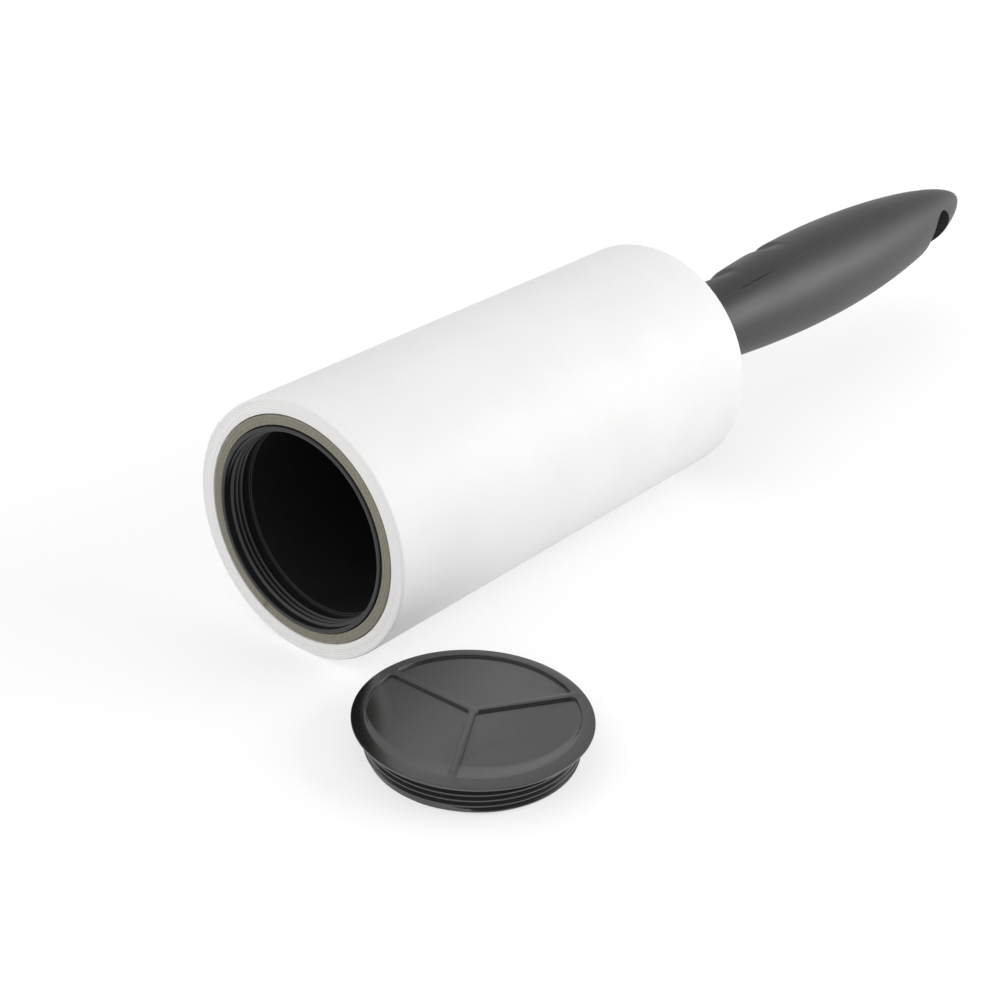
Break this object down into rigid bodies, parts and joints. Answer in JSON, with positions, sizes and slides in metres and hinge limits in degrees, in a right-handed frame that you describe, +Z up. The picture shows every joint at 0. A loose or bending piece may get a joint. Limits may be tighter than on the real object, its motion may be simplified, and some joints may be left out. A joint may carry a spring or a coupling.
{
  "type": "lint roller diversion safe",
  "caption": "Lint roller whose paper refill sits on a hollow drum, a hidden compartment, with an oval handle and a round screw cap lying beside its mouth.",
  "frame": {"origin": "middle of the flat strip under the paper roll, on the surface that the roll rests on", "axes": "+X along the roller's axis from the open mouth to the handle's tip, +Z up; the cap lies on the -Y side of the mouth"},
  "size_m": [0.2567, 0.0855, 0.0475],
  "materials": {
    "sheet_paper": "smooth adhesive sheet",
    "core_card": "raw grey card",
    "drum_black": "moulded, black",
    "cap_grey": "satin moulded, dark grey",
    "handle_grey": "satin moulded, dark grey",
    "bearing_nylon": "natural nylon",
    "axle_steel": "turned, zinc plated"
  },
  "bodies": {
    "drum_body": {"drum": "drum_black", "compartment_floor": "drum_black", "hub_bush": "bearing_nylon"},
    "handle_body": {"handle_front_shell": "handle_grey", "handle_back_shell": "handle_grey", "spindle": "axle_steel", "thrust_washer": "bearing_nylon", "axle_washer": "axle_steel", "axle_screw": "axle_steel"},
    "refill_body": {"paper_roll": "sheet_paper", "cardboard_core": "core_card"},
    "cap_body": {"cap": "cap_grey"}
  },
  "joints": [
    {"name": "handle_spin", "type": "hinge", "parent": "drum_body", "child": "handle_body", "pos_m": [0, 0, 0.0237], "axis": [1, 0, 0], "continuous": true},
    {"name": "refill_slide", "type": "slide", "parent": "drum_body", "child": "refill_body", "axis": [-1, 0, 0], "range_m": [0, 0.105]},
    {"name": "cap_lift", "type": "slide", "parent": "drum_body", "child": "cap_body", "axis": [0, -0.6, 0.8], "range_m": [0, 0.08]}
  ]
}
